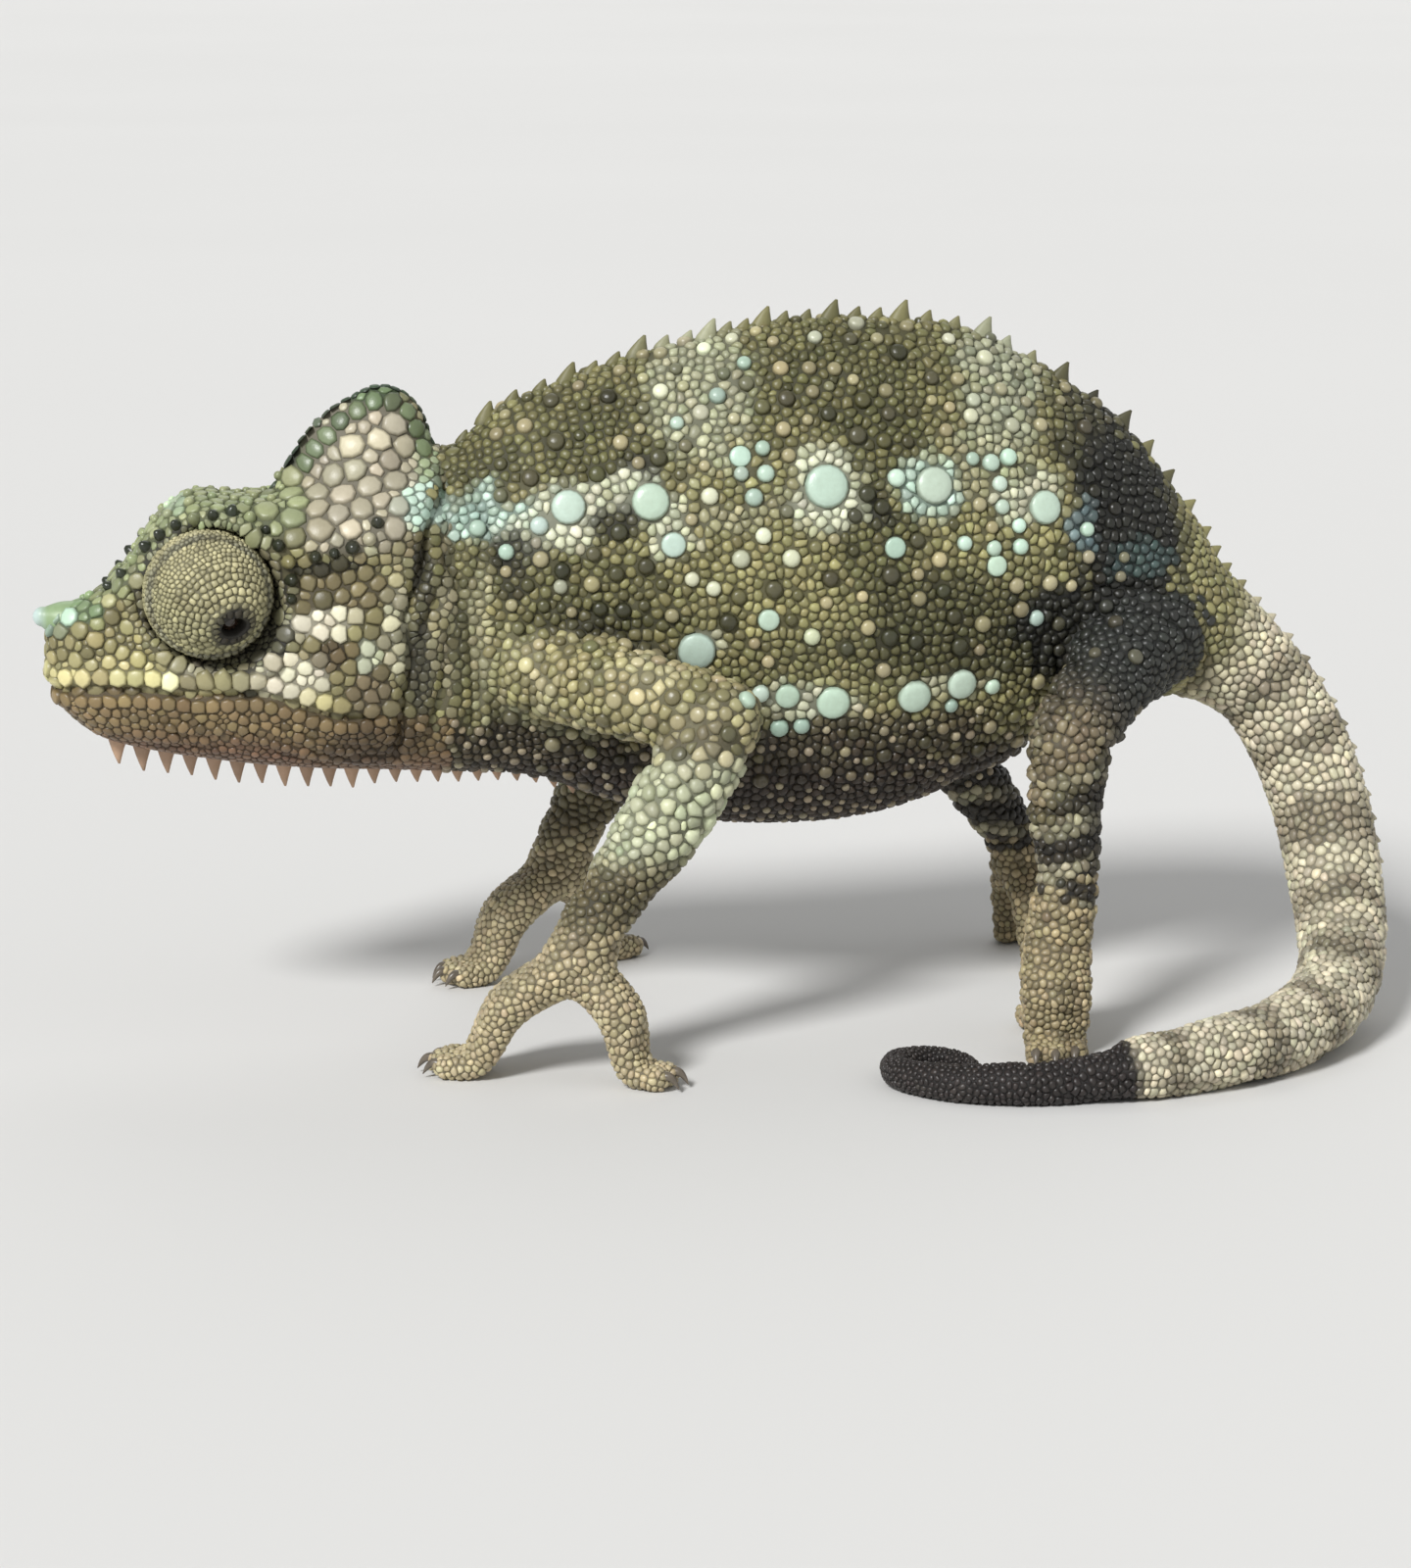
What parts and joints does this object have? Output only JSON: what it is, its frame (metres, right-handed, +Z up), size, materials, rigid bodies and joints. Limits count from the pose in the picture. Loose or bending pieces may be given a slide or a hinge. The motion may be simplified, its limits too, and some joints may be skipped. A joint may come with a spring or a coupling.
{
  "type": "high-casqued chameleon",
  "caption": "Life-size high-casqued chameleon standing on all fours, with a domed casque, turret eyes, toothed back crest and its tail curled on the floor beside it",
  "frame": {"origin": "middle of the box in plan, on the floor under the belly", "axes": "the head points to -X and the tail's root to +X, the animal's left side is -Y, +Z is up"},
  "size_m": [0.0855, 0.0426, 0.0459],
  "materials": {
    "skin_olive": "matt, finely granular",
    "skin_pale": "matt, finely granular",
    "skin_green": "matt, plated with small scales",
    "throat_rose": "matt, finely granular",
    "eye_lid": "matt, ringed with granules",
    "eye_dark": "wet gloss"
  },
  "bodies": {
    "root": {"casque": "skin_pale", "head": "skin_green", "left_eye": "eye_dark", "left_eye_turret": "eye_lid", "left_fore_inner_toes": "skin_olive", "left_fore_outer_toes": "skin_olive", "left_forearm": "skin_olive", "left_forefoot": "skin_olive", "left_hind_inner_toes": "skin_olive", "left_hind_outer_toes": "skin_olive", "left_hindfoot": "skin_olive", "left_shin": "skin_olive", "left_thigh": "skin_olive", "left_upper_arm": "skin_olive", "lower_jaw": "throat_rose", "neck": "skin_olive", "right_eye": "eye_dark", "right_eye_turret": "eye_lid", "right_fore_inner_toes": "skin_olive", "right_fore_outer_toes": "skin_olive", "right_forearm": "skin_olive", "right_forefoot": "skin_olive", "right_hind_inner_toes": "skin_olive", "right_hind_outer_toes": "skin_olive", "right_hindfoot": "skin_olive", "right_shin": "skin_olive", "right_thigh": "skin_olive", "right_upper_arm": "skin_olive", "tail_base": "skin_pale", "tail_bend": "skin_pale", "tail_coil": "skin_pale", "tail_end": "skin_pale", "tail_middle": "skin_pale", "tail_tip": "skin_pale", "torso": "skin_olive"}
  },
  "joints": []
}
